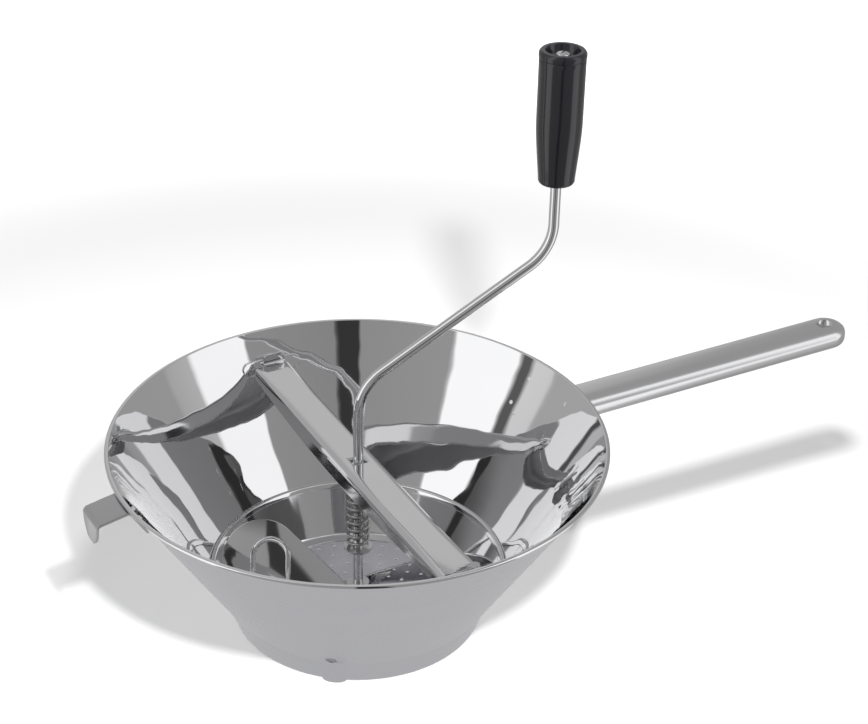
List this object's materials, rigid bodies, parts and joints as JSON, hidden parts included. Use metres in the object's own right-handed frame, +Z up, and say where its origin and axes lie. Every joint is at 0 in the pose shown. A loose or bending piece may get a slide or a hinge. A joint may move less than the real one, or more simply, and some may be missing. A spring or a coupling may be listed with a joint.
{
  "type": "food mill",
  "caption": "Hand-cranked food mill: conical steel bowl with sieve foot, channel bar, cranked rod with sprung blade, black grip, side handle and pot hook.",
  "frame": {"origin": "centre of the foot of the bowl's collar, where the mill stands", "axes": "+Z up along the crank shaft, +X along the side handle, Y along the crossbar"},
  "size_m": [0.4195, 0.24, 0.2875],
  "materials": {
    "satin_steel": "satin, brushed round the bowl",
    "polished_steel": "polished",
    "black_plastic": "smooth, half gloss"
  },
  "bodies": {
    "bowl": {"bowl": "satin_steel", "handle": "satin_steel", "handle_bracket": "satin_steel", "pot_hook": "satin_steel", "bar_seat_back": "satin_steel", "bar_seat_front": "satin_steel", "crossbar": "polished_steel", "bar_bush": "polished_steel", "sieve_disc": "satin_steel"},
    "spring_seat": {"spring": "polished_steel", "spring_washer": "polished_steel"},
    "crank": {"crank_rod": "polished_steel", "retaining_clip": "polished_steel", "blade": "polished_steel", "blade_hub": "polished_steel", "hub_pin": "polished_steel", "grip_collar": "polished_steel", "grip_washer": "polished_steel", "grip_screw": "polished_steel"},
    "grip": {"grip": "black_plastic"}
  },
  "joints": [
    {"name": "crank_lift", "type": "slide", "parent": "bowl", "child": "spring_seat", "axis": [0, 0, 1], "range_m": [0, 0.008], "stiffness_N_per_m": 400, "springref_m": -0.01, "deforming": ["spring"]},
    {"name": "crank_spin", "type": "hinge", "parent": "spring_seat", "child": "crank", "pos_m": [0, 0, 0], "axis": [0, 0, 1], "continuous": true},
    {"name": "grip_spin", "type": "hinge", "parent": "crank", "child": "grip", "pos_m": [0.0879, -0.02355, 0.25], "axis": [0, 0, 1], "continuous": true}
  ]
}
